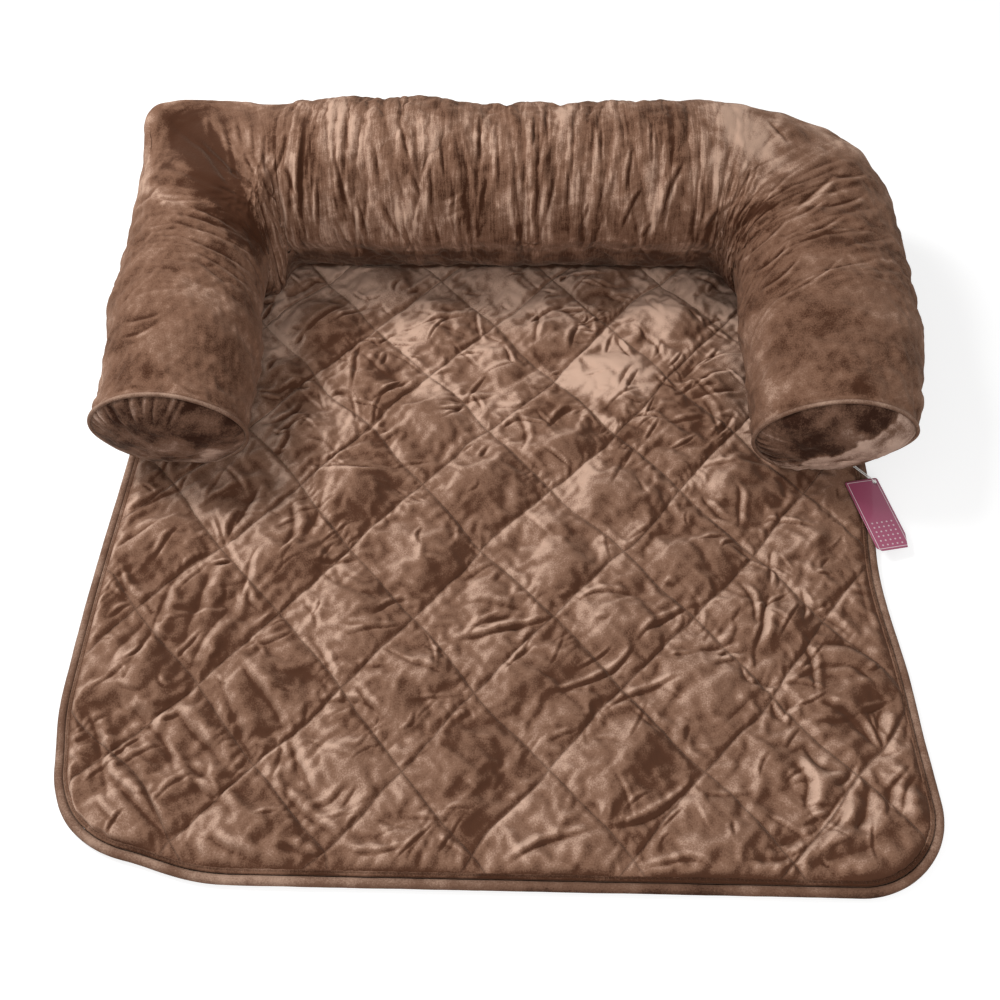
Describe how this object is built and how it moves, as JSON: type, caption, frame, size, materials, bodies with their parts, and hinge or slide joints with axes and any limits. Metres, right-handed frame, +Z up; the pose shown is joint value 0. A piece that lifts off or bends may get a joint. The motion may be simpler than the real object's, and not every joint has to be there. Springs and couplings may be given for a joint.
{
  "type": "couch protector pet bed",
  "caption": "Flat quilted couch mat with a stuffed bolster along both sides and the back, piped edges and a front apron that folds down over the couch.",
  "frame": {"origin": "middle of the footprint, on the surface that the bed lies on", "axes": "+Z up, -Y towards the front apron, +X to the right as seen from the front"},
  "size_m": [0.965, 0.999, 0.2233],
  "materials": {
    "plush_quilted": "crushed brown plush, quilted in diamonds",
    "plush_cover": "crushed brown plush, gathered",
    "plush_cap": "dark brown plush",
    "piping": "plush-covered cord",
    "wadding": "polyester batt",
    "backing": "plain woven non-slip cloth",
    "filling": "loose polyester fibre",
    "zip_tape": "woven tape",
    "zip_teeth": "moulded teeth",
    "zip_metal": "die-cast, lacquered",
    "tag_card": "coated card",
    "nylon": "clear nylon filament"
  },
  "bodies": {
    "bed": {"seat_quilted_top": "plush_quilted", "seat_wadding": "wadding", "seat_backing": "backing", "seat_piping": "piping", "back_cover": "plush_cover", "left_arm_cover": "plush_cover", "right_arm_cover": "plush_cover", "back_fill": "filling", "left_arm_fill": "filling", "right_arm_fill": "filling", "left_end_cap": "plush_cap", "right_end_cap": "plush_cap", "left_cap_piping": "piping", "right_cap_piping": "piping", "zip_tape_upper": "zip_tape", "zip_tape_lower": "zip_tape", "zip_teeth_upper": "zip_teeth", "zip_teeth_lower": "zip_teeth", "zip_stops": "zip_metal", "tag_loop": "nylon"},
    "front_flap": {"flap_quilted_top": "plush_quilted", "flap_wadding": "wadding", "flap_backing": "backing", "flap_piping": "piping"},
    "zip_slider": {"zip_slider": "zip_metal"},
    "zip_pull": {"zip_pull": "zip_metal"},
    "swing_tag": {"swing_tag": "tag_card"}
  },
  "joints": [
    {"name": "front_flap_fold", "type": "hinge", "parent": "bed", "child": "front_flap", "pos_m": [0, 0.0055, 0], "axis": [1, 0, 0], "range_deg": [0, 90]},
    {"name": "zip_slide", "type": "slide", "parent": "bed", "child": "zip_slider", "axis": [-1, 0, 0], "range_m": [0, 0.38]},
    {"name": "zip_pull_swing", "type": "hinge", "parent": "zip_slider", "child": "zip_pull", "pos_m": [0.19, 0.49011, 0.05691], "axis": [0, -0.4832, -0.8755], "range_deg": [0, 150]},
    {"name": "swing_tag_swing", "type": "hinge", "parent": "bed", "child": "swing_tag", "pos_m": [0.45275, -0.01545, 0.0141], "axis": [0.0872, 0, 0.9962], "range_deg": [-8, 50]}
  ]
}
